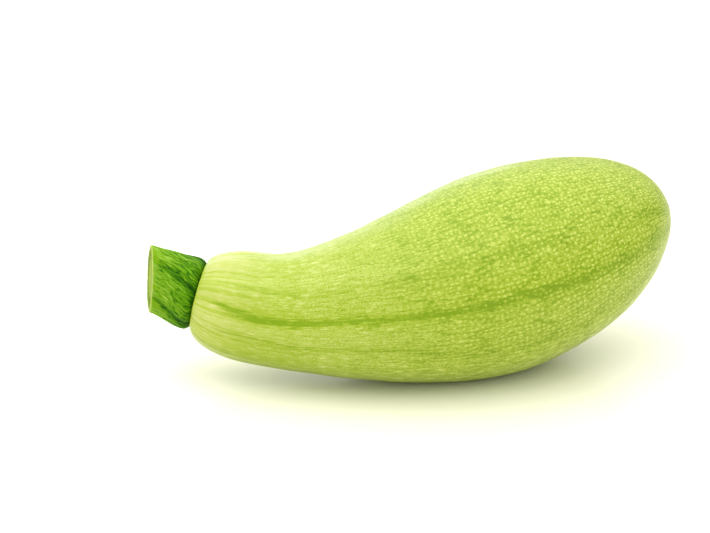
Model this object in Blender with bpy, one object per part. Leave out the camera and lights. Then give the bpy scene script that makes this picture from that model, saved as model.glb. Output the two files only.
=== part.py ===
# A young vegetable marrow lying on its side: the fruit, its cut stem and the scar at its blossom end.
import math

import bmesh
import bpy
import numpy as np
from mathutils import Vector

# Driving dimensions, in metres. The stem points along -X and the blossom end along +X.

# Points on the fruit's centreline, from the seat of the stem to the blossom end.
SPINE = (
    (-0.0960, 0.0150, 0.0370),
    (-0.0660, 0.0045, 0.0313),
    (-0.0310, -0.0055, 0.0338),
    (0.0060, -0.0055, 0.0383),
    (0.0410, 0.0000, 0.0445),
    (0.0740, 0.0075, 0.0523),
    (0.0990, 0.0135, 0.0581),
    (0.1162, 0.0172, 0.0602),
)

# Distances along the centreline, and radii there.
FRUIT_LENGTH = 0.2220
BELLY_AT = 0.1350
BELLY_RADIUS = 0.0445
SWELLING_STARTS = 0.0200
NECK_RADIUS = 0.0240
SHOULDER_LENGTH = 0.0240
SHOULDER_POWER = 0.60
SEAT_RADIUS = 0.0150

# Shallow ribs run from the stem to the blossom end and fade away from the shoulder.
RIB_COUNT = 10
RIB_DEPTH_AT_SHOULDER = 0.020
RIB_DEPTH_ON_BELLY = 0.003
RIB_FADE_LENGTH = 0.0350
UNEVENNESS = 0.006

# The dry scar where the flower fell off.
SCAR_RADIUS = 0.0086
SCAR_SEAT_RADIUS = 0.0090
SCAR_THICKNESS = 0.0013
SCAR_DISH = 0.0004

# The stem is five-angled, slightly twisted and cut off flat.
STEM_END = (-0.1168, 0.0200, 0.0446)
STEM_CUT_NORMAL = (-0.992, 0.040, 0.090)
STEM_CUT_RADIUS = 0.0146
STEM_BASE_RADIUS = 0.0160
STEM_FOOT_RADIUS = 0.0130
STEM_FOOT_ROUNDING = 0.0046
STEM_EDGE_ROUNDING = 0.0005
STEM_ANGLES = 5
STEM_ANGLE_DEPTH = 0.095
STEM_FURROWS = 15
STEM_FURROW_DEPTH = 0.014
STEM_TWIST = math.radians(-30)
STEM_TURN = math.radians(46)

# Neighbouring pieces keep this clearance.
GAP = 0.0003

# Mesh resolution.
FRUIT_SEGMENTS = 80
SHOULDER_RINGS = 8
BODY_RINGS = 25
BLOSSOM_RINGS = 16
STEM_SEGMENTS = 90
STEM_RINGS = 11
FOOT_RINGS = 4
SCAR_SEGMENTS = 40
SCAR_RINGS = 4


def clear_scene():
    for old in list(bpy.data.objects):
        bpy.data.objects.remove(old, do_unlink=True)


def material(name, colour, roughness):
    made = bpy.data.materials.new(name)
    made.use_nodes = True
    surface = made.node_tree.nodes["Principled BSDF"]
    surface.inputs["Base Color"].default_value = (*colour, 1.0)
    surface.inputs["Roughness"].default_value = roughness
    surface.inputs["Metallic"].default_value = 0.0
    made.diffuse_color = (*colour, 1.0)
    return made


def natural_spline(points):
    """A smooth curve through the points, as a function of the distance along their chords."""
    p = np.array(points, float)
    knots = np.concatenate([[0.0], np.cumsum(np.linalg.norm(np.diff(p, axis=0), axis=1))])
    gaps = np.diff(knots)
    slopes = np.diff(p, axis=0) / gaps[:, None]
    last = len(p) - 1
    matrix = np.eye(last + 1)
    right = np.zeros_like(p)
    for i in range(1, last):
        matrix[i, i - 1:i + 2] = gaps[i - 1], 2 * (gaps[i - 1] + gaps[i]), gaps[i]
        right[i] = 6 * (slopes[i] - slopes[i - 1])
    bend = np.linalg.solve(matrix, right)

    def point_at(t):
        i = min(max(int(np.searchsorted(knots, t)) - 1, 0), last - 1)
        before = t - knots[i]
        after = knots[i + 1] - t
        curved = (bend[i] * after ** 3 + bend[i + 1] * before ** 3) / (6 * gaps[i])
        straight_start = (p[i] / gaps[i] - bend[i] * gaps[i] / 6) * after
        straight_end = (p[i + 1] / gaps[i] - bend[i + 1] * gaps[i] / 6) * before
        return Vector(curved + straight_start + straight_end)

    return point_at, knots[-1]


class Spine:
    """The fruit's centreline, read by true distance from the seat of the stem."""

    def __init__(self, points, samples=400):
        self.point_at, self.span = natural_spline(points)
        self.parameters = np.linspace(0.0, self.span, samples)
        track = np.array([self.point_at(t) for t in self.parameters])
        steps = np.linalg.norm(np.diff(track, axis=0), axis=1)
        self.distances = np.concatenate([[0.0], np.cumsum(steps)])

    def frame(self, distance):
        """Centre, direction, sideways and upward vectors at a distance along the fruit."""
        t = float(np.interp(distance, self.distances, self.parameters))
        centre = self.point_at(t)
        step = 1e-4
        ahead = self.point_at(min(t + step, self.span))
        behind = self.point_at(max(t - step, 0.0))
        direction = (ahead - behind).normalized()
        centre += direction * max(distance - self.distances[-1], 0.0)
        return (centre, direction, *cross_axes(direction))


def cross_axes(direction):
    """Sideways and upward unit vectors square to a direction."""
    sideways = Vector((0, 0, 1)).cross(direction).normalized()
    return sideways, direction.cross(sideways)


def smooth_step(x):
    x = min(max(x, 0.0), 1.0)
    return x * x * (3 - 2 * x)


def fruit_radius(distance):
    """Radius of the fruit, without its ribs: a shoulder, a neck, a belly and an elliptical end."""
    if distance > BELLY_AT:
        reach = (distance - BELLY_AT) / (FRUIT_LENGTH - BELLY_AT)
        return BELLY_RADIUS * math.sqrt(max(1 - reach * reach, 0.0))
    swelling = smooth_step((distance - SWELLING_STARTS) / (BELLY_AT - SWELLING_STARTS))
    radius = NECK_RADIUS + (BELLY_RADIUS - NECK_RADIUS) * swelling
    if distance < SHOULDER_LENGTH:
        left = 1 - distance / SHOULDER_LENGTH
        radius -= (NECK_RADIUS - SEAT_RADIUS) * (1 - (1 - left * left) ** SHOULDER_POWER)
    return radius


def rib_factor(distance, angle):
    """Ribs and a slight unevenness, as a factor on the radius."""
    fade = math.exp(-distance / RIB_FADE_LENGTH)
    depth = RIB_DEPTH_ON_BELLY + (RIB_DEPTH_AT_SHOULDER - RIB_DEPTH_ON_BELLY) * fade
    end_fade = smooth_step((FRUIT_LENGTH - distance) / RIB_FADE_LENGTH)
    ribs = depth * math.cos(RIB_COUNT * angle)
    turn = distance / FRUIT_LENGTH * math.tau
    uneven = UNEVENNESS * math.sin(2 * angle + turn) * math.sin(0.5 * turn)
    return 1 + ribs * (0.3 + 0.7 * end_fade) + uneven


def scar_seat_distance():
    """Where the fruit's elliptical end has narrowed to the seat of the scar."""
    narrowing = math.sqrt(1 - (SCAR_SEAT_RADIUS / BELLY_RADIUS) ** 2)
    return BELLY_AT + (FRUIT_LENGTH - BELLY_AT) * narrowing


def fruit_distances():
    """Distances of the fruit's rings, closer together on the two rounded ends."""
    shoulder = [SHOULDER_LENGTH * (i / SHOULDER_RINGS) ** 1.6 for i in range(SHOULDER_RINGS)]
    body = [SHOULDER_LENGTH + (BELLY_AT - SHOULDER_LENGTH) * i / BODY_RINGS for i in range(BODY_RINGS)]
    end_angle = math.acos(SCAR_SEAT_RADIUS / BELLY_RADIUS)
    turns = [end_angle * i / BLOSSOM_RINGS for i in range(BLOSSOM_RINGS + 1)]
    blossom_end = [BELLY_AT + (FRUIT_LENGTH - BELLY_AT) * math.sin(turn) for turn in turns]
    return shoulder + body + blossom_end


def add_ring(mesh, centre, sideways, upward, radius_at, segments):
    """A closed loop of vertices round a centre, with a radius for each angle."""
    made = bmesh.ops.create_circle(mesh, segments=segments, radius=1.0)
    for i, vertex in enumerate(made["verts"]):
        angle = math.tau * i / segments
        radius = radius_at(angle)
        vertex.co = centre + sideways * (radius * math.cos(angle)) + upward * (radius * math.sin(angle))
    return list({edge for vertex in made["verts"] for edge in vertex.link_edges})


def skin_over(mesh, rings):
    """Bridge each ring to the next one and close both ends."""
    for first, second in zip(rings, rings[1:]):
        bmesh.ops.bridge_loops(mesh, edges=first + second)
    for end in (rings[0], rings[-1]):
        bmesh.ops.contextual_create(mesh, geom=end)


def make_object(name, mesh, surface):
    """Turn a finished bmesh into a smooth-shaded object."""
    bmesh.ops.recalc_face_normals(mesh, faces=mesh.faces)
    data = bpy.data.meshes.new(name)
    mesh.to_mesh(data)
    mesh.free()
    data.shade_smooth()
    data.set_sharp_from_angle(angle=math.radians(40))
    data.materials.append(surface)
    made = bpy.data.objects.new(name, data)
    bpy.context.scene.collection.objects.link(made)
    return made


def rest_on_floor(mesh):
    """Slice the underside off level with the floor, so that it rests on a small flat spot."""
    everything = mesh.verts[:] + mesh.edges[:] + mesh.faces[:]
    cut = bmesh.ops.bisect_plane(
        mesh, geom=everything, plane_co=(0, 0, 0), plane_no=(0, 0, 1), dist=1e-6, clear_inner=True)
    rim = [item for item in cut["geom_cut"] if isinstance(item, bmesh.types.BMEdge)]
    bmesh.ops.contextual_create(mesh, geom=rim)


def make_fruit(spine):
    mesh = bmesh.new()
    rings = []
    for distance in fruit_distances():
        centre, _, sideways, upward = spine.frame(distance)
        radius = fruit_radius(distance)

        def radius_at(angle, distance=distance, radius=radius):
            return radius * rib_factor(distance, angle)

        rings.append(add_ring(mesh, centre, sideways, upward, radius_at, FRUIT_SEGMENTS))
    skin_over(mesh, rings)
    rest_on_floor(mesh)
    return make_object("fruit", mesh, material("marrow_skin", (0.42, 0.56, 0.09), 0.42))


def stem_radius(distance, length):
    """Radius of the stem without its angles: a rounded foot, then a slow taper to the cut."""
    taper = STEM_BASE_RADIUS + (STEM_CUT_RADIUS - STEM_BASE_RADIUS) * smooth_step(distance / length)
    if distance < STEM_FOOT_ROUNDING:
        left = 1 - distance / STEM_FOOT_ROUNDING
        taper -= (STEM_BASE_RADIUS - STEM_FOOT_RADIUS) * (1 - math.sqrt(1 - left * left))
    return taper


def stem_ridge_factor(angle, twist, strength):
    """Five rounded angles with narrow furrows between them, and fine furrows over all."""
    turned = angle - twist
    angles = STEM_ANGLE_DEPTH * (abs(math.cos(STEM_ANGLES * turned / 2)) - 2 / math.pi)
    fine = STEM_FURROW_DEPTH * math.cos(STEM_FURROWS * turned)
    return 1 + (angles + fine) * strength


def stem_distances(length):
    """Distances of the stem's rings: close together on the rounded foot, and one at the cut's edge."""
    foot = [STEM_FOOT_ROUNDING * (i / FOOT_RINGS) ** 1.7 for i in range(FOOT_RINGS)]
    straight_end = length - STEM_EDGE_ROUNDING
    shaft = [
        STEM_FOOT_ROUNDING + (straight_end - STEM_FOOT_ROUNDING) * i / STEM_RINGS
        for i in range(STEM_RINGS + 1)
    ]
    return foot + shaft + [length]


def make_stem(spine):
    seat, direction, _, _ = spine.frame(0.0)
    start = seat - direction * GAP
    end = Vector(STEM_END)
    length = (end - start).length
    leaving = -direction
    cut_normal = Vector(STEM_CUT_NORMAL).normalized()
    mesh = bmesh.new()
    rings = []
    for distance in stem_distances(length):
        share = distance / length
        centre = start.lerp(end, share)
        facing = leaving.lerp(cut_normal, smooth_step(share)).normalized()
        sideways, upward = cross_axes(-facing)
        edge_loss = STEM_EDGE_ROUNDING if distance == length else 0.0
        radius = stem_radius(distance, length) - edge_loss
        twist = STEM_TURN + STEM_TWIST * share
        strength = smooth_step(0.35 + distance / STEM_FOOT_ROUNDING)

        def radius_at(angle, radius=radius, twist=twist, strength=strength):
            return radius * stem_ridge_factor(angle, twist, strength)

        rings.append(add_ring(mesh, centre, sideways, upward, radius_at, STEM_SEGMENTS))
    skin_over(mesh, rings)
    return make_object("stem", mesh, material("stem_skin", (0.16, 0.33, 0.03), 0.60))


def make_scar(spine):
    seat, direction, sideways, upward = spine.frame(scar_seat_distance())
    bottom = seat + direction * GAP
    mesh = bmesh.new()
    rings = [add_ring(mesh, bottom, sideways, upward, lambda angle: SCAR_RADIUS, SCAR_SEGMENTS)]
    for i in range(SCAR_RINGS):
        turn = math.pi / 2 * i / (SCAR_RINGS - 1)
        height = SCAR_THICKNESS * (0.3 + 0.7 * math.sin(turn))
        radius = SCAR_RADIUS - SCAR_THICKNESS * (1 - math.cos(turn))
        centre = bottom + direction * height
        rings.append(add_ring(mesh, centre, sideways, upward, lambda angle, r=radius: r, SCAR_SEGMENTS))
    dish = bottom + direction * (SCAR_THICKNESS - SCAR_DISH)
    inner = 0.6 * SCAR_RADIUS
    rings.append(add_ring(mesh, dish, sideways, upward, lambda angle: inner, SCAR_SEGMENTS))
    skin_over(mesh, rings)
    return make_object("blossom_scar", mesh, material("scar_cork", (0.45, 0.38, 0.20), 0.80))


def centre_over_origin(pieces):
    """Slide every piece sideways so that the middle of their common box stands over the origin."""
    corners = np.array([vertex.co[:] for piece in pieces for vertex in piece.data.vertices])
    middle = (corners.min(axis=0) + corners.max(axis=0)) / 2
    shift = Vector((-middle[0], -middle[1], 0.0))
    for piece in pieces:
        for vertex in piece.data.vertices:
            vertex.co += shift


def main():
    clear_scene()
    spine = Spine(SPINE)
    centre_over_origin([make_fruit(spine), make_stem(spine), make_scar(spine)])


main()
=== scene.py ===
import math

import bmesh
import bpy
import numpy as np
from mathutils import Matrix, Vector


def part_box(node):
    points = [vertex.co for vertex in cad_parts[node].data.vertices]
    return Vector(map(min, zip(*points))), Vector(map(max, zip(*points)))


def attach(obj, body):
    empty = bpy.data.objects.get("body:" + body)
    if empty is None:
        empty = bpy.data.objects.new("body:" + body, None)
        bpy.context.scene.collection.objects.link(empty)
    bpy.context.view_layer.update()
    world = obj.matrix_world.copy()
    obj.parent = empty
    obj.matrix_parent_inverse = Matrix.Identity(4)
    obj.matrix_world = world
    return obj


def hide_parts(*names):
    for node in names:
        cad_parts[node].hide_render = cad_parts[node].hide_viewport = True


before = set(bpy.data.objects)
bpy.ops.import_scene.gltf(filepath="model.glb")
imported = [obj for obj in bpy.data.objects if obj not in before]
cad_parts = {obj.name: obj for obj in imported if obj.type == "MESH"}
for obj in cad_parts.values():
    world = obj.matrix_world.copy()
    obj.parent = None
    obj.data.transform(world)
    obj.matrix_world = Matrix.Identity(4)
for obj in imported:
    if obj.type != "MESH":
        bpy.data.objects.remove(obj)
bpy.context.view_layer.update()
print("frame loaded")

mmInMetre = 1000
weldDistance = 1e-6


# Numbers and colours

def smoothStep(x):
    x = np.clip(x, 0.0, 1.0)
    return x * x * (3 - 2 * x)


def colour(red, green, blue):  # 0 to 255 as seen on a screen, made linear
    shares = [channel / 255 for channel in (red, green, blue)]
    return tuple(s / 12.92 if s <= 0.04045 else ((s + 0.055) / 1.055) ** 2.4 for s in shares) + (1.0,)


def waves(points, count, smallest, seed):  # smooth unevenness, from -1 to 1 or so
    dice = np.random.default_rng(seed)
    total = np.zeros(len(points))
    for _ in range(count):
        direction = dice.normal(size=3)
        direction /= np.linalg.norm(direction)
        length = smallest * dice.uniform(1.0, 2.5)
        total += np.sin(points @ direction * math.tau / length + dice.uniform(0, math.tau))
    return total / math.sqrt(count)


# Shader nodes

def newMaterial(name, viewColour):
    made = bpy.data.materials.new(name)
    made.use_nodes = True
    made.diffuse_color = colour(*viewColour)
    return made, made.node_tree, made.node_tree.nodes["Principled BSDF"]


def feed(tree, socket, value):
    if isinstance(value, bpy.types.NodeSocket):
        tree.links.new(value, socket)
    else:
        socket.default_value = value


def addNode(tree, kind, sockets=None, **settings):
    made = tree.nodes.new(kind)
    for key, value in settings.items():
        setattr(made, key, value)
    for key, value in (sockets or {}).items():
        feed(tree, made.inputs[key], value)
    return made


def attribute(tree, name, output="Vector"):
    return addNode(tree, "ShaderNodeAttribute", attribute_name=name).outputs[output]


def split(tree, vector):
    return addNode(tree, "ShaderNodeSeparateXYZ", {0: vector}).outputs


def calc(tree, operation, first, second, third=0.0):
    return addNode(tree, "ShaderNodeMath", {0: first, 1: second, 2: third}, operation=operation).outputs[0]


def times(tree, first, second):
    return calc(tree, "MULTIPLY", first, second)


def greatest(tree, first, *others):
    for other in others:
        first = calc(tree, "MAXIMUM", first, other)
    return first


def weigh(tree, start, *layers):  # a constant plus each layer times its weight
    total = start
    for layer, weight in layers:
        total = calc(tree, "MULTIPLY_ADD", layer, weight, total)
    return total


def soften(tree, value, low, high, toLow=0.0, toHigh=1.0):  # a smooth step between two values
    sockets = {"Value": value, "From Min": low, "From Max": high, "To Min": toLow, "To Max": toHigh}
    return addNode(tree, "ShaderNodeMapRange", sockets, interpolation_type="SMOOTHSTEP").outputs["Result"]


def noise(tree, vector, across, along, detail=2.0, roughness=0.5, output="Fac"):
    scales = {0: vector, 1: (across, across, along)}
    place = addNode(tree, "ShaderNodeVectorMath", scales, operation="MULTIPLY").outputs[0]
    sockets = {"Vector": place, "Scale": 1.0, "Detail": detail, "Roughness": roughness}
    return addNode(tree, "ShaderNodeTexNoise", sockets).outputs[output]


def mixColours(tree, factor, first, second):
    return addNode(tree, "ShaderNodeMix", {0: factor, 6: first, 7: second}, data_type="RGBA").outputs[2]


def mixValues(tree, factor, first, second):
    return addNode(tree, "ShaderNodeMix", {0: factor, 2: first, 3: second}).outputs[0]


def ramp(tree, value, stops):
    made = addNode(tree, "ShaderNodeValToRGB", {"Fac": value})
    elements = made.color_ramp.elements
    for place, _ in stops[1:-1]:
        elements.new(place)
    for element, (place, shade) in zip(elements, stops):
        element.position = place
        element.color = colour(*shade)
    return made.outputs["Color"]


def bothSides(tree, turned, reach, pattern):
    # a flat pattern wrapped round twice, with the seams on opposite sides and each one hidden by the other wrap
    parts = split(tree, turned)
    wrapped = []
    for side in (-1.0, 1.0):
        turn = calc(tree, "ARCTAN2", times(tree, parts["Y"], side), times(tree, parts["X"], side))
        wrapped.append(pattern(times(tree, turn, reach)))
    return mixValues(tree, soften(tree, parts["X"], 0.35, 0.6), *wrapped)


def cells(tree, across, along, wide, long, randomness=0.85, feature="F1"):
    vector = addNode(tree, "ShaderNodeCombineXYZ", {
        0: calc(tree, "DIVIDE", across, wide),
        1: calc(tree, "DIVIDE", along, long),
    }).outputs[0]
    sockets = {"Vector": vector, "Scale": 1.0, "Randomness": randomness}
    return addNode(tree, "ShaderNodeTexVoronoi", sockets, voronoi_dimensions="2D", feature=feature)


def borders(tree, across, along, wide, long, randomness, low, high):  # a step from the edges of cells inwards
    made = cells(tree, across, along, wide, long, randomness, "DISTANCE_TO_EDGE")
    return soften(tree, made.outputs["Distance"], low, high)


def dots(tree, across, along, wide, long, full, empty, weakest=0.3, missing=0.0, randomness=0.85, strength=1.0):
    made = cells(tree, across, along, wide, long, randomness)
    shape = soften(tree, made.outputs["Distance"], empty, full)
    draw = addNode(tree, "ShaderNodeSeparateColor", {0: made.outputs["Color"]}).outputs[0]
    return times(tree, shape, soften(tree, draw, missing, 1.0, weakest * strength, strength))


def dress(tree, surface, shade, relief, look):
    bump = addNode(tree, "ShaderNodeBump", {**look["bump"], "Height": relief})
    for key, value in {"Base Color": shade, **look["gloss"], "Normal": bump.outputs["Normal"]}.items():
        feed(tree, surface.inputs[key], value)


# The curve that the fruit grew along, and tubes wrapped round it

def naturalSpline(points):
    p = np.array(points, float)
    knots = np.concatenate([[0.0], np.cumsum(np.linalg.norm(np.diff(p, axis=0), axis=1))])
    gaps = np.diff(knots)
    slopes = np.diff(p, axis=0) / gaps[:, None]
    last = len(p) - 1
    matrix = np.eye(last + 1)
    right = np.zeros_like(p)
    for i in range(1, last):
        matrix[i, i - 1:i + 2] = gaps[i - 1], 2 * (gaps[i - 1] + gaps[i]), gaps[i]
        right[i] = 6 * (slopes[i] - slopes[i - 1])
    bend = np.linalg.solve(matrix, right)

    def pointAt(t):
        i = np.clip(np.searchsorted(knots, t) - 1, 0, last - 1)
        before = (t - knots[i])[:, None]
        after = (knots[i + 1] - t)[:, None]
        gap = gaps[i][:, None]
        curved = (bend[i] * after ** 3 + bend[i + 1] * before ** 3) / (6 * gap)
        start = (p[i] / gap - bend[i] * gap / 6) * after
        end = (p[i + 1] / gap - bend[i + 1] * gap / 6) * before
        return curved + start + end

    return pointAt, knots[-1]


def unit(vectors):
    return vectors / np.linalg.norm(vectors, axis=-1, keepdims=True)


def crossAxes(direction):  # sideways and upward, square to the direction
    sideways = unit(np.cross((0.0, 0.0, 1.0), direction))
    return sideways, np.cross(direction, sideways)


def spineFrames(distance):
    pointAt, span = naturalSpline(fruit["spine"])
    fine = np.linspace(0.0, span, fruit["spineSteps"])
    track = pointAt(fine)
    run = np.concatenate([[0.0], np.cumsum(np.linalg.norm(np.diff(track, axis=0), axis=1))])
    t = np.interp(distance, run, fine)
    step = 1e-4
    direction = unit(pointAt(np.minimum(t + step, span)) - pointAt(np.maximum(t - step, 0.0)))
    centre = pointAt(t) + direction * np.maximum(distance - run[-1], 0.0)[:, None]
    return centre, direction, *crossAxes(direction)


def ringPlaces(centre, sideways, upward, radius, angle):
    reach = radius[:, None]
    return centre + sideways * (reach * np.cos(angle)[:, None]) + upward * (reach * np.sin(angle)[:, None])


def wrapGrid(name, around, rows, surfaceAt, material):
    # a flat grid with sides of 1, rolled up: its columns go round and its rows go along
    bm = bmesh.new()
    bmesh.ops.create_grid(bm, x_segments=around, y_segments=rows, size=0.5)
    mesh = bpy.data.meshes.new(name)
    bm.to_mesh(mesh)
    bm.free()
    flat = np.empty(len(mesh.vertices) * 3, np.float32)
    mesh.vertices.foreach_get("co", flat)
    angle = (flat[0::3].astype(float) + 0.5) * math.tau
    row = np.rint((flat[1::3] + 0.5) * rows).astype(int)
    places, layers = surfaceAt(angle, row)
    mesh.vertices.foreach_set("co", places.astype(np.float32).ravel())
    for key, values in layers.items():
        kind, field = ("FLOAT_VECTOR", "vector") if values.ndim == 2 else ("FLOAT", "value")
        layer = mesh.attributes.new(key, kind, "POINT")
        layer.data.foreach_set(field, values.astype(np.float32).ravel())
    # close the seam and the poles
    bm = bmesh.new()
    bm.from_mesh(mesh)
    bmesh.ops.remove_doubles(bm, verts=bm.verts, dist=weldDistance)
    bmesh.ops.recalc_face_normals(bm, faces=bm.faces)
    bm.to_mesh(mesh)
    bm.free()
    mesh.shade_smooth()
    mesh.materials.append(material)
    made = bpy.data.objects.new(name, mesh)
    bpy.context.scene.collection.objects.link(made)
    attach(made, "root")
    print(name, len(mesh.vertices), "vertices")
    return made


# Fruit

fruit = {
    "spine": (
        (-0.0960, 0.0150, 0.0370),
        (-0.0660, 0.0045, 0.0313),
        (-0.0310, -0.0055, 0.0338),
        (0.0060, -0.0055, 0.0383),
        (0.0410, 0.0000, 0.0445),
        (0.0740, 0.0075, 0.0523),
        (0.0990, 0.0135, 0.0581),
        (0.1162, 0.0172, 0.0602),
    ),
    "spineSteps": 400,
    "length": 0.2220,
    "bellyAt": 0.1350,
    "bellyRadius": 0.0445,
    "swellingStarts": 0.0200,
    "neckRadius": 0.0240,
    "shoulderLength": 0.0240,
    "shoulderPower": 0.60,
    "seatRadius": 0.0150,
    "ribCount": 10,
    "ribDepthAtShoulder": 0.020,
    "ribDepthOnBelly": 0.003,
    "ribFadeLength": 0.0350,
    "ribShareAtEnd": 0.3,
    "unevenness": 0.006,
    "scarSeatRadius": 0.0090,
    "around": 288,
    "capRows": 4,
    "shoulderRows": 30,
    "shoulderCrowding": 1.6,  # above 1, rows crowd towards the stem
    "bodyRows": 138,
    "blossomRows": 112,
    "centreColumns": 73,
    "lumps": {"count": 24, "smallest": 0.011, "seed": 4},
    "lumpHeight": 0.00010,
    "veinDepth": 0.00012,
    "inset": 0.00015,         # keeps the finer skin inside the solid's box
    "floorClearance": 0.00002,
    "seatRounding": 0.0009,   # softens the edge of the flat spot
}

# Dark lines along the skin. Each track lists distance from the stem in mm, angle in degrees,
# half width in mm and strength.
veins = {
    "tracks": (
        (
            (3, 158.5, 0.8, 0.0), (9, 160.5, 1.4, 0.4), (14, 162.5, 2.1, 0.75), (21, 166.0, 2.3, 0.9),
            (29, 168.0, 2.2, 1.0), (40, 169.3, 2.1, 1.0), (95, 170.5, 1.9, 1.0), (135, 171.0, 2.8, 0.95),
            (160, 172.5, 4.4, 0.7), (185, 175.5, 5.2, 0.65), (205, 178.5, 4.0, 0.6), (222, 180.0, 2.0, 0.4),
        ),
        (
            (3, 135.0, 0.8, 0.0), (12, 136.5, 1.4, 0.3), (34, 139.5, 2.4, 0.4), (49, 146.0, 2.8, 0.5),
            (100, 145.5, 3.0, 0.4), (174, 147.5, 3.6, 0.35), (193, 153.0, 3.4, 0.7), (222, 160.0, 2.0, 0.4),
        ),
        (
            (3, 188.5, 0.7, 0.1), (12, 188.5, 1.3, 0.6), (32, 189.5, 1.6, 0.6), (47, 194.5, 2.0, 0.55),
            (80, 194.0, 2.0, 0.5), (108, 202.0, 2.4, 0.5), (150, 203.0, 3.0, 0.4), (222, 200.0, 2.0, 0.3),
        ),
    ),
    "core": 0.6,             # share of a line that is a clear core; the rest has wide, faint edges
    "plainCount": 6,         # evenly spaced lines on the rest of the skin
    "plainFrom": 246,        # in degrees, as is the step
    "plainStep": 35,
    "plainHalf": 0.0022,
    "plainStrength": 0.68,
    "plainFullAt": 0.02,
    "plainSway": (0.05, 40, 2),  # size, turns in radians for each metre, and shift from line to line
    "plainBeat": (0.2, 60, 3),
}


def fruitRadius(distance):
    reach = (distance - fruit["bellyAt"]) / (fruit["length"] - fruit["bellyAt"])
    blossomEnd = fruit["bellyRadius"] * np.sqrt(np.clip(1 - reach * reach, 0.0, 1.0))
    swelling = smoothStep((distance - fruit["swellingStarts"]) / (fruit["bellyAt"] - fruit["swellingStarts"]))
    body = fruit["neckRadius"] + (fruit["bellyRadius"] - fruit["neckRadius"]) * swelling
    left = np.clip(1 - distance / fruit["shoulderLength"], 0.0, 1.0)
    shoulder = 1 - (1 - left * left) ** fruit["shoulderPower"]
    body -= (fruit["neckRadius"] - fruit["seatRadius"]) * shoulder
    return np.where(distance > fruit["bellyAt"], blossomEnd, body)


def ribFactor(distance, angle):
    fade = np.exp(-distance / fruit["ribFadeLength"])
    depth = fruit["ribDepthOnBelly"] + (fruit["ribDepthAtShoulder"] - fruit["ribDepthOnBelly"]) * fade
    endShare = fruit["ribShareAtEnd"]
    endFade = endShare + (1 - endShare) * smoothStep((fruit["length"] - distance) / fruit["ribFadeLength"])
    turn = distance / fruit["length"] * math.tau
    uneven = fruit["unevenness"] * np.sin(2 * angle + turn) * np.sin(0.5 * turn)
    return 1 + depth * np.cos(fruit["ribCount"] * angle) * endFade + uneven


def scarSeatTurn():
    return math.acos(fruit["scarSeatRadius"] / fruit["bellyRadius"])


def scarSeatDistance():
    return fruit["bellyAt"] + (fruit["length"] - fruit["bellyAt"]) * math.sin(scarSeatTurn())


def fruitRows():  # each row's distance from the stem, and its share of the radius there
    steps = np.arange(fruit["shoulderRows"]) / fruit["shoulderRows"]
    shoulder = fruit["shoulderLength"] * steps ** fruit["shoulderCrowding"]
    body = np.linspace(fruit["shoulderLength"], fruit["bellyAt"], fruit["bodyRows"], endpoint=False)
    turns = np.linspace(0.0, scarSeatTurn(), fruit["blossomRows"] + 1)
    blossom = fruit["bellyAt"] + (fruit["length"] - fruit["bellyAt"]) * np.sin(turns)
    skin = np.concatenate([shoulder, body, blossom])
    cap = np.arange(fruit["capRows"]) / fruit["capRows"]
    distances = np.concatenate([np.full(len(cap), skin[0]), skin, np.full(len(cap), skin[-1])])
    shares = np.concatenate([cap, np.ones(len(skin)), cap[::-1]])
    return distances, shares


def centreShift():  # the solid stands centred on the origin, and so does everything made here
    low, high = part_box("fruit")
    distances, shares = fruitRows()
    around = np.linspace(0.0, math.tau, fruit["centreColumns"])
    distance, angle = (grid.ravel() for grid in np.meshgrid(distances, around))
    share = np.tile(shares, len(around))
    centre, _, sideways, upward = spineFrames(distance)
    radius = fruitRadius(distance) * ribFactor(distance, angle) * share
    places = ringPlaces(centre, sideways, upward, radius, angle)
    middle = (places.min(axis=0) + places.max(axis=0)) / 2
    return np.array([(low.x + high.x) / 2 - middle[0], (low.y + high.y) / 2 - middle[1], 0.0])


def turnBetween(angle, middle):  # half a turn either way at most
    return (angle - middle + math.pi) % math.tau - math.pi


def plainWave(kind, distance, line):
    size, pace, shiftEach = veins[kind]
    return size * np.sin(distance * pace + line * shiftEach)


def veinStrength(distance, angle):  # how near a point is to the dark lines along the fruit
    total = np.zeros(len(distance))
    girth = fruitRadius(distance)
    for track in veins["tracks"]:
        stops, *columns = np.array(track, float).T
        degrees, half, strength = (np.interp(distance * mmInMetre, stops, column) for column in columns)
        off = np.abs(turnBetween(angle, np.radians(degrees))) * girth / (half / mmInMetre)
        shape = veins["core"] * np.exp(-off * off) + (1 - veins["core"]) * np.exp(-off)
        total = np.maximum(total, strength * shape)
    for i in range(veins["plainCount"]):
        middle = math.radians(veins["plainFrom"] + veins["plainStep"] * i) + plainWave("plainSway", distance, i)
        off = turnBetween(angle, middle) * girth / veins["plainHalf"]
        strength = veins["plainStrength"] * (1 + plainWave("plainBeat", distance, i))
        total = np.maximum(total, smoothStep(distance / veins["plainFullAt"]) * strength * np.exp(-off * off))
    return total


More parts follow.
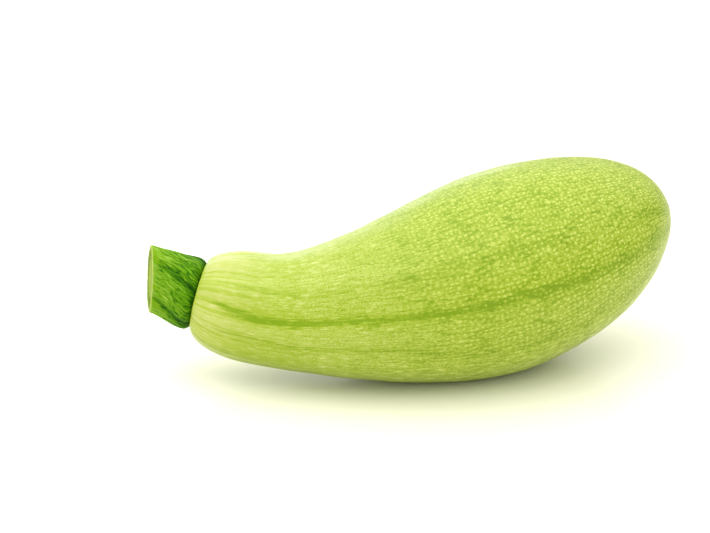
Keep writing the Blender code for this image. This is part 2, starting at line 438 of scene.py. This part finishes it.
def fruitSurface(angle, row):
    distances, shares = fruitRows()
    profile = fruitRadius(distances) * shares
    steps = np.hypot(np.diff(distances), np.diff(profile))
    meridian = np.concatenate([[0.0], np.cumsum(steps)])[row]
    distance = distances[row]
    share = shares[row]
    centre, _, sideways, upward = spineFrames(distance)
    radius = fruitRadius(distance) * ribFactor(distance, angle)
    straight = np.stack([radius * np.cos(angle), radius * np.sin(angle), distance], axis=1)
    dark = veinStrength(distance, angle)
    radius += waves(straight, **fruit["lumps"]) * fruit["lumpHeight"]
    radius -= fruit["inset"] + dark * fruit["veinDepth"]
    places = ringPlaces(centre, sideways, upward, radius * share, angle) + shift
    soft = fruit["seatRounding"]
    places[:, 2] = soft * np.logaddexp(places[:, 2] / soft, 0.0) + fruit["floorClearance"]
    layers = {
        "turned": np.stack([np.cos(angle), np.sin(angle), distance / fruit["length"]], axis=1),
        "meridian": meridian * mmInMetre,
        "veins": dark,
    }
    return places, layers


skinLook = {
    # shares of the length from the stem, where each zone's weight is 0 and 1, or has the two values that follow
    "neck": (0.50, 0.20),
    "cream": (0.17, 0.03),
    "rays": (0.30, 0.05),
    "crisp": (0.02, 0.30),
    "calm": (0.03, 0.22, 0.45, 1.0),      # finer marks are weaker beside the stem
    "bellyContrast": (0.40, 0.85, 0.42, 0.57),
    # under places the dashes underneath, and also a painted shade on the neck's underside
    "under": (-0.25, -0.65),              # how far a point is turned down
    "seat": (18.0, 15.0),                 # mm along the skin from the middle of the stem's seat
    # noise: how often it repeats round the fruit and along it, its detail and roughness
    "wobble": (22.0, 110.0),
    "streaks": (50.0, 7.0, 3.0, 0.6),
    "fibres": (30.0, 22.0, 3.0, 0.6),
    "bands": (6.0, 2.0, 2.0, 0.5),
    "grain": (75.0, 360.0, 2.0, 0.7),
    "fan": (9.0, 1.5, 1.0, 0.6),
    # pale marks: the width and length of their cells in mm, and where in a cell they are full and end
    "spotWobble": 1.1,
    "spots": {
        "fine": {"wide": 1.2, "long": 1.3, "full": 0.05, "empty": 0.60, "strength": 0.55},
        "round": {"wide": 2.05, "long": 2.35, "full": 0.10, "empty": 0.46, "weakest": 0.65, "randomness": 0.65},
        "dash": {"wide": 1.5, "long": 6.5, "full": 0.06, "empty": 0.50, "weakest": 0.25},
        "blot": {"wide": 5.0, "long": 11.0, "full": 0.04, "empty": 0.26, "weakest": 0.4, "missing": 0.35,
                 "strength": 1.3},
        "big": {"wide": 10.0, "long": 12.0, "full": 0.05, "empty": 0.15, "weakest": 0.0, "missing": 0.35,
                "strength": 0.9},
    },
    "rowWobble": 1.6,
    "rows": {"wide": 2.6, "long": 22.0, "randomness": 0.9, "low": 0.15, "high": 0.0},
    # how dark the noise has to be for a ray beside the stem, and how strong a line has to be to show
    "rayTone": (0.56, 0.38),
    "lineTone": (0.10, 1.0),
    # colours from dark to pale tones
    "bellyColours": (
        (0.0, (117, 147, 6)), (0.3, (149, 171, 39)), (0.6, (180, 195, 78)), (1.0, (209, 217, 120))),
    "neckColours": (
        (0.0, (120, 152, 0)), (0.25, (154, 175, 38)), (0.55, (183, 197, 95)), (1.0, (211, 213, 143))),
    "creamColours": (
        (0.0, (128, 158, 14)), (0.25, (171, 187, 66)), (0.55, (200, 204, 127)), (1.0, (222, 217, 175))),
    "seatColour": (184, 208, 58),
    "gloss": {
        "Roughness": 0.45, "Specular IOR Level": 0.15,
        "Coat Weight": 0.35, "Coat Roughness": 0.18, "Coat IOR": 1.40,
    },
    "bump": {"Strength": 0.3, "Distance": 0.0004},
}


def skinMaterial():
    made, tree, surface = newMaterial("marrow skin", (178, 203, 78))
    turned = attribute(tree, "turned")
    meridian = attribute(tree, "meridian", "Fac")
    dark = attribute(tree, "veins", "Fac")
    parts = split(tree, turned)
    along = parts["Z"]
    neck = soften(tree, along, *skinLook["neck"])
    under = soften(tree, parts["Y"], *skinLook["under"])
    dashed = greatest(tree, neck, under)
    wobble = split(tree, noise(tree, turned, *skinLook["wobble"], output="Color"))

    def speckles(across):  # round ones in rows on the belly, and dashes on the neck and underneath
        x = weigh(tree, across, (wobble["X"], skinLook["spotWobble"]))
        y = weigh(tree, meridian, (wobble["Y"], skinLook["spotWobble"]))
        spots = {kind: dots(tree, x, y, **values) for kind, values in skinLook["spots"].items()}
        onBelly = greatest(tree, spots["round"], spots["fine"])
        elsewhere = greatest(tree, spots["dash"], spots["fine"], spots["blot"])
        return greatest(tree, mixValues(tree, dashed, onBelly, elsewhere), spots["big"])

    def rows(across):  # fine darker lines between the rows
        x = weigh(tree, across, (wobble["X"], skinLook["rowWobble"]))
        return borders(tree, x, meridian, **skinLook["rows"])

    reach = fruit["bellyRadius"] * mmInMetre
    speckle = bothSides(tree, turned, reach, speckles)
    row = bothSides(tree, turned, reach, rows)
    streaks, fibres, bands, grain, fan = (
        noise(tree, turned, *skinLook[kind]) for kind in ("streaks", "fibres", "bands", "grain", "fan"))
    rays = times(tree, soften(tree, fan, *skinLook["rayTone"]), soften(tree, along, *skinLook["rays"]))
    line = weigh(tree, -1.95, (dark, 1.0), (fibres, 1.5), (streaks, 1.3), (grain, 1.1))
    line = soften(tree, line, *skinLook["lineTone"])
    crisp = times(tree, calc(tree, "SUBTRACT", grain, 0.5), soften(tree, along, *skinLook["crisp"]))

    contrast = weigh(tree, soften(tree, along, *skinLook["bellyContrast"]), (under, 0.26))
    bellyTone = weigh(
        tree, -0.45, (speckle, contrast), (row, -0.22), (streaks, 0.20), (fibres, 0.18), (grain, 1.00),
        (bands, 0.08), (line, -0.36))
    finer = weigh(tree, -0.36, (speckle, 0.34), (row, -0.12), (streaks, 0.26), (fibres, 0.34), (crisp, 1.60))
    finer = times(tree, finer, soften(tree, along, *skinLook["calm"]))
    # the under term darkens the neck's underside: painted shade
    neckTone = weigh(tree, 0.30, (finer, 1.0), (bands, 0.22), (rays, -0.18), (under, -0.05), (line, -0.38))
    belly = ramp(tree, bellyTone, skinLook["bellyColours"])
    lighter = ramp(tree, neckTone, skinLook["neckColours"])
    cream = ramp(tree, neckTone, skinLook["creamColours"])
    shade = mixColours(tree, neck, belly, lighter)
    shade = mixColours(tree, soften(tree, along, *skinLook["cream"]), shade, cream)
    shade = mixColours(tree, soften(tree, meridian, *skinLook["seat"]), shade, colour(*skinLook["seatColour"]))
    relief = weigh(tree, 0.0, (speckle, 0.5), (streaks, 0.5), (fibres, 0.5))
    dress(tree, surface, shade, relief, skinLook)
    return made


# Stem

stem = {
    "end": (-0.1168, 0.0200, 0.0446),
    "cutNormal": (-0.992, 0.040, 0.090),
    "cutRadius": 0.0146,
    "baseRadius": 0.0160,
    "footRadius": 0.0130,
    "footRounding": 0.0046,
    "footRidges": 0.35,       # share of the ridges' depth where the foot starts
    "edgeRounding": 0.0005,
    "angles": 5,
    "angleDepth": 0.095,
    "furrows": 15,
    "furrowDepth": 0.014,
    "twist": math.radians(-30),
    "turn": math.radians(46),
    "gap": 0.0003,
    "around": 360,
    "shaftRows": 90,
    "footRows": 24,
    "footCrowding": 1.7,
    "edgeRows": 4,
    "cutRows": 26,
    "baseRows": 4,
    "fibres": {"count": 60, "smallest": 0.07, "seed": 9},
    "fibreStretch": 0.12,
    "fibreDepth": 0.00013,
    "cutDish": 0.0006,
    "cutDishSlope": 1.3,      # above 1, the dish is full before the middle
    "cutLumps": {"count": 30, "smallest": 0.16, "seed": 3},
    "cutLumpHeight": 0.00006,
    "inset": 0.00016,
}


def stemRadius(distance, length):
    taper = stem["baseRadius"] + (stem["cutRadius"] - stem["baseRadius"]) * smoothStep(distance / length)
    left = np.clip(1 - distance / stem["footRounding"], 0.0, 1.0)
    return taper - (stem["baseRadius"] - stem["footRadius"]) * (1 - np.sqrt(1 - left * left))


def stemRows(length):
    # each row's distance from the foot, its share of the radius, and how far it is across the cut
    foot = stem["footRounding"] * (np.arange(stem["footRows"]) / stem["footRows"]) ** stem["footCrowding"]
    edgeStart = length - stem["edgeRounding"]
    shaft = np.linspace(stem["footRounding"], edgeStart, stem["shaftRows"], endpoint=False)
    turns = np.linspace(0.0, math.pi / 2, stem["edgeRows"] + 1)
    edge = edgeStart + stem["edgeRounding"] * np.sin(turns)
    edgeLoss = stem["edgeRounding"] * (1 - np.cos(turns)) / stem["cutRadius"]
    across = np.arange(1, stem["cutRows"] + 1) / stem["cutRows"]
    base = np.arange(stem["baseRows"]) / stem["baseRows"]
    side = np.concatenate([foot, shaft])
    distances = np.concatenate([np.zeros(len(base)), side, edge, np.full(len(across), length)])
    shares = np.concatenate([base, np.ones(len(side)), 1 - edgeLoss, (1 - edgeLoss[-1]) * (1 - across)])
    cut = np.concatenate([np.zeros(len(base) + len(side) + len(edge)), across])
    return distances, shares, cut


def stemSurface(angle, row):
    seat, direction, _, _ = (values[0] for values in spineFrames(np.zeros(1)))
    start = seat - direction * stem["gap"]
    end = np.array(stem["end"])
    length = float(np.linalg.norm(end - start))
    distances, shares, cuts = stemRows(length)
    distance = distances[row]
    share = shares[row]
    cut = cuts[row]
    along = distance / length
    blend = smoothStep(along)[:, None]
    facing = unit(-direction * (1 - blend) + unit(np.array(stem["cutNormal"])) * blend)
    sideways, upward = crossAxes(-facing)
    turned = angle - stem["turn"] - stem["twist"] * along
    strength = smoothStep(stem["footRidges"] + distance / stem["footRounding"])
    ridge = np.abs(np.cos(stem["angles"] * turned / 2))
    fine = stem["furrowDepth"] * np.cos(stem["furrows"] * turned)
    factor = 1 + (stem["angleDepth"] * (ridge - 2 / math.pi) + fine) * strength  # 2 / pi is the ridges' mean
    straight = np.stack([np.cos(turned), np.sin(turned), along * stem["fibreStretch"]], axis=1)
    fibres = waves(straight, **stem["fibres"]) * stem["fibreDepth"] * strength * (1 - cut) ** 4
    radius = stemRadius(distance, length) * factor + fibres - stem["inset"]
    centre = start + (end - start) * along[:, None]
    face = np.stack([share * np.cos(turned), share * np.sin(turned), 0 * cut], axis=1)
    lumps = waves(face, **stem["cutLumps"]) * stem["cutLumpHeight"] * (cut > 0)
    dish = facing * (lumps - stem["cutDish"] * smoothStep(cut * stem["cutDishSlope"]))[:, None]
    places = ringPlaces(centre, sideways, upward, radius * share, angle) + dish + shift
    layers = {
        "stemStraight": np.stack([
            stem["baseRadius"] * share * np.cos(turned),
            stem["baseRadius"] * share * np.sin(turned),
            distance,
        ], axis=1) * mmInMetre,
        "stemShape": np.stack([ridge, along, cut], axis=1),
    }
    return places, layers


stemLook = {
    # noise: how often it repeats in a mm across the stem and along it, its detail and roughness
    "wobble": (0.35, 0.35),
    "fine": (2.9, 0.232, 4.0, 0.68),
    "patches": (0.20, 0.09, 2.0, 0.5),
    "cutGrain": (0.8, 0.8, 4.0, 0.6),
    "fibreWobble": 2.5,
    "fibres": {"wide": 1.3, "long": 9.0, "randomness": 1.0, "low": 0.0, "high": 0.16},
    # shares of the way along the stem, or across the cut from its edge to its middle
    "yellowAlong": (0.6, 1.0),
    "rimAlong": (0.97, 0.995),
    "rimAcross": (0.06, 0.02),
    "cutFrom": (0.0, 0.04),
    "ringStart": (0.16, 0.26),
    "ringEnd": (0.42, 0.32),
    "pith": (0.25, 0.6),
    "yellowPatches": (0.42, 0.62),
    # ridge: where the painted highlight on the stem's ridges comes in
    "ridge": (0.0, 0.55),
    "poreSize": 1.1,
    "pore": (0.45, 0.15),
    "bodyColours": (
        (0.0, (20, 64, 0)), (0.3, (54, 112, 0)), (0.55, (96, 150, 0)),
        (0.8, (134, 176, 44)), (1.0, (172, 200, 96)),
    ),
    "yellowColour": (116, 162, 2),
    "cutColours": ((0.0, (74, 104, 0)), (0.45, (132, 160, 20)), (1.0, (188, 200, 96))),
    "rimColour": (180, 198, 100),
    "gloss": {"Roughness": 0.6, "Specular IOR Level": 0.08},
    "bump": {"Strength": 0.6, "Distance": 0.0006},
}


def stemMaterial():
    made, tree, surface = newMaterial("green stem", (96, 145, 30))
    straight = attribute(tree, "stemStraight")
    shape = split(tree, attribute(tree, "stemShape"))
    place = split(tree, straight)
    along, cut = shape["Y"], shape["Z"]
    wobble = split(tree, noise(tree, straight, *stemLook["wobble"], output="Color"))

    def zone(value, kind):
        return soften(tree, value, *stemLook[kind])

    def fibres(across):
        x = weigh(tree, across, (wobble["X"], stemLook["fibreWobble"]))
        return borders(tree, x, place["Z"], **stemLook["fibres"])

    fibre = bothSides(tree, straight, stem["baseRadius"] * mmInMetre, fibres)
    fine, patches, grain = (noise(tree, straight, *stemLook[kind]) for kind in ("fine", "patches", "cutGrain"))
    # lighter on the ridges and darker in the furrows: painted highlight and painted shade
    ridge = zone(shape["X"], "ridge")
    # the along term makes the stem darker towards its foot: partly its own darker green, partly painted shade
    # from the fruit's shoulder
    tone = weigh(tree, -1.26, (fibre, 0.30), (fine, 1.70), (patches, 0.45), (ridge, 0.30), (along, 0.42))
    body = ramp(tree, tone, stemLook["bodyColours"])
    yellow = times(tree, zone(along, "yellowAlong"), zone(patches, "yellowPatches"))
    body = mixColours(tree, yellow, body, colour(*stemLook["yellowColour"]))

    # the cut: a green ring under the skin, a ring of sap tubes and a paler pith
    pores = cells(tree, place["X"], place["Y"], stemLook["poreSize"], stemLook["poreSize"])
    pore = zone(pores.outputs["Distance"], "pore")
    ring = times(tree, zone(cut, "ringStart"), zone(cut, "ringEnd"))
    cutTone = weigh(tree, -0.14, (grain, 1.0), (times(tree, pore, ring), -0.5), (zone(cut, "pith"), 0.30))
    face = ramp(tree, cutTone, stemLook["cutColours"])
    shade = mixColours(tree, zone(cut, "cutFrom"), body, face)
    rim = times(tree, zone(along, "rimAlong"), zone(cut, "rimAcross"))
    shade = mixColours(tree, rim, shade, colour(*stemLook["rimColour"]))
    dress(tree, surface, shade, weigh(tree, 0.0, (fibre, 0.5), (fine, 0.6)), stemLook)
    return made


# Scar at the blossom end

scar = {
    "radius": 0.0085,
    "thickness": 0.0013,
    "rimStart": 0.3,          # share of the thickness where the rim starts to round
    "dish": 0.0004,
    "dishSlope": 2.5,
    "gap": 0.0003,
    "around": 144,
    "rimRows": 10,
    "faceRows": 30,
    "baseRows": 3,
    "edge": {"count": 20, "smallest": 0.25, "seed": 21},
    "edgeLimit": 2.0,
    "edgeDepth": 0.00022,
    "grain": {"count": 40, "smallest": 0.0011, "seed": 12},
    "grainHeight": 0.00007,
}


def scarSurface(angle, row):
    seat, direction, sideways, upward = spineFrames(np.full(len(angle), scarSeatDistance()))
    turns = np.linspace(0.0, math.pi / 2, scar["rimRows"])
    rimHeight = scar["thickness"] * (scar["rimStart"] + (1 - scar["rimStart"]) * np.sin(turns))
    rimRadius = scar["radius"] - scar["thickness"] * (1 - np.cos(turns))
    across = np.arange(1, scar["faceRows"] + 1) / scar["faceRows"]
    faceHeight = scar["thickness"] - scar["dish"] * smoothStep(across * scar["dishSlope"])
    base = np.arange(scar["baseRows"]) / scar["baseRows"]
    heights = np.concatenate([np.zeros(len(base) + 1), rimHeight, faceHeight])
    radii = np.concatenate([scar["radius"] * base, [scar["radius"]], rimRadius, rimRadius[-1] * (1 - across)])
    circle = np.stack([np.cos(angle), np.sin(angle), 0 * angle], axis=1)
    limit = scar["edgeLimit"]
    edge = np.clip(waves(circle, **scar["edge"]), -limit, limit) - limit
    radius = radii[row] * (1 + edge * scar["edgeDepth"] / scar["radius"])
    disc = np.stack([radius * np.cos(angle), radius * np.sin(angle), heights[row]], axis=1)
    rough = (waves(disc, **scar["grain"]) - 2) * scar["grainHeight"]  # lowered, to stay under the solid's face
    height = scar["gap"] + np.where(heights[row] > 0, heights[row] + rough, 0.0)
    centre = seat + direction * height[:, None]
    places = ringPlaces(centre, sideways, upward, radius, angle) + shift
    return places, {"discPlace": disc * mmInMetre}


scarLook = {
    "grain": (0.9, 0.9, 5.0, 0.65),
    "patches": (0.25, 0.25, 2.0, 0.5),
    "cracks": {"wide": 1.9, "long": 1.9, "randomness": 1.0, "low": 0.07, "high": 0.0},
    "edge": (6.4, 8.2),       # darker from here outwards, in mm from the middle
    "middle": (2.4, 1.2),     # and from here inwards
    "colours": ((0.0, (84, 72, 34)), (0.35, (140, 128, 74)), (0.7, (184, 176, 118)), (1.0, (210, 206, 154))),
    "gloss": {"Roughness": 0.85},
    "bump": {"Strength": 0.5, "Distance": 0.0004},
}


def scarMaterial():
    made, tree, surface = newMaterial("dry scar", (178, 168, 120))
    place = attribute(tree, "discPlace")
    parts = split(tree, place)
    grain, patches = (noise(tree, place, *scarLook[kind]) for kind in ("grain", "patches"))
    reach = addNode(tree, "ShaderNodeVectorMath", {0: place}, operation="LENGTH").outputs["Value"]
    edge, middle = (soften(tree, reach, *scarLook[kind]) for kind in ("edge", "middle"))
    crack = borders(tree, parts["X"], parts["Y"], **scarLook["cracks"])
    tone = weigh(tree, -0.26, (grain, 0.7), (patches, 0.7), (crack, -0.3), (edge, -0.4), (middle, -0.3))
    dress(tree, surface, ramp(tree, tone, scarLook["colours"]), grain, scarLook)
    return made


# Build the pieces

shift = centreShift()
print("shift", [round(float(v), 6) for v in shift])

fruitRowCount = fruit["capRows"] * 2 + fruit["shoulderRows"] + fruit["bodyRows"] + fruit["blossomRows"]
fruitPiece = wrapGrid("marrow_fruit", fruit["around"], fruitRowCount, fruitSurface, skinMaterial())
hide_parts("fruit")

stemRowCount = sum(stem[part] for part in ("baseRows", "footRows", "shaftRows", "edgeRows", "cutRows"))
stemPiece = wrapGrid("marrow_stem", stem["around"], stemRowCount, stemSurface, stemMaterial())
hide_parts("stem")

scarRowCount = scar["baseRows"] + scar["rimRows"] + scar["faceRows"]
scarPiece = wrapGrid("marrow_scar", scar["around"], scarRowCount, scarSurface, scarMaterial())
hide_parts("blossom_scar")


# Floor, light and camera

studio = {
    "floorSize": 8.0,
    "floorLook": {
        "Base Color": (0.95, 0.925, 0.78, 1.0),
        "Roughness": 0.25,
        "Specular IOR Level": 0.3,
    },
    "skyColour": (1.0, 1.0, 1.0, 1.0),
    "skyLow": 0.55,           # strength at the horizon
    "skyHigh": 1.85,          # strength overhead
    "skyHighFrom": 0.9,
    "skySide": 0.18,          # weaker by this towards the blossom end, and stronger towards the stem
    "lamps": {                # place, width, height and power
        "overhead": ((-0.35, -0.10, 1.60), 1.6, 1.6, 5.0),
        "behind": ((-0.09, 1.00, 0.26), 0.82, 0.26, 1.3),
    },
    "lampTarget": (0.0, 0.0, 0.04),
    "cameraAzimuth": -12.5,
    "cameraElevation": 20.0,
    "cameraDistance": 0.73,
    "cameraTarget": (-0.0288, 0.0075, 0.0478),
    "cameraNear": 0.01,
    "lens": 85.0,
}


def makeFloor():
    bm = bmesh.new()
    bmesh.ops.create_grid(bm, x_segments=1, y_segments=1, size=studio["floorSize"] / 2)
    mesh = bpy.data.meshes.new("floor")
    bm.to_mesh(mesh)
    bm.free()
    made, tree, surface = newMaterial("pale surface", (250, 250, 244))
    for key, value in studio["floorLook"].items():
        feed(tree, surface.inputs[key], value)
    mesh.materials.append(made)
    floor = bpy.data.objects.new("floor", mesh)
    bpy.context.scene.collection.objects.link(floor)


def pointAtTarget(thing, towards):
    thing.rotation_euler = towards.to_track_quat("-Z", "Y").to_euler()


def makeLight():
    world = bpy.data.worlds.new("studio")
    world.use_nodes = True
    tree = world.node_tree
    sky = tree.nodes["Background"]
    sky.inputs["Color"].default_value = studio["skyColour"]
    towards = split(tree, addNode(tree, "ShaderNodeTexCoord").outputs["Generated"])
    glow = soften(tree, towards["Z"], 0.0, studio["skyHighFrom"], studio["skyLow"], studio["skyHigh"])
    glow = weigh(tree, glow, (towards["X"], -studio["skySide"]))
    tree.links.new(glow, sky.inputs["Strength"])
    bpy.context.scene.world = world
    for name, (place, width, height, power) in studio["lamps"].items():
        lamp = bpy.data.lights.new(name, "AREA")
        lamp.shape = "RECTANGLE"
        lamp.size = width
        lamp.size_y = height
        lamp.energy = power
        holder = bpy.data.objects.new(name, lamp)
        holder.location = place
        pointAtTarget(holder, Vector(studio["lampTarget"]) - holder.location)
        holder.visible_camera = False
        bpy.context.scene.collection.objects.link(holder)


def makeCamera():
    camera = bpy.data.objects.new("camera", bpy.data.cameras.new("camera"))
    bpy.context.scene.collection.objects.link(camera)
    azimuth, elevation = math.radians(studio["cameraAzimuth"]), math.radians(studio["cameraElevation"])
    back = Vector((
        math.sin(azimuth) * math.cos(elevation),
        -math.cos(azimuth) * math.cos(elevation),
        math.sin(elevation),
    ))
    camera.location = Vector(studio["cameraTarget"]) + back * studio["cameraDistance"]
    pointAtTarget(camera, -back)
    camera.data.lens = studio["lens"]
    camera.data.clip_start = studio["cameraNear"]
    bpy.context.scene.camera = camera


makeFloor()
makeLight()
makeCamera()
bpy.context.scene.view_settings.view_transform = "Standard"
print("stage set")
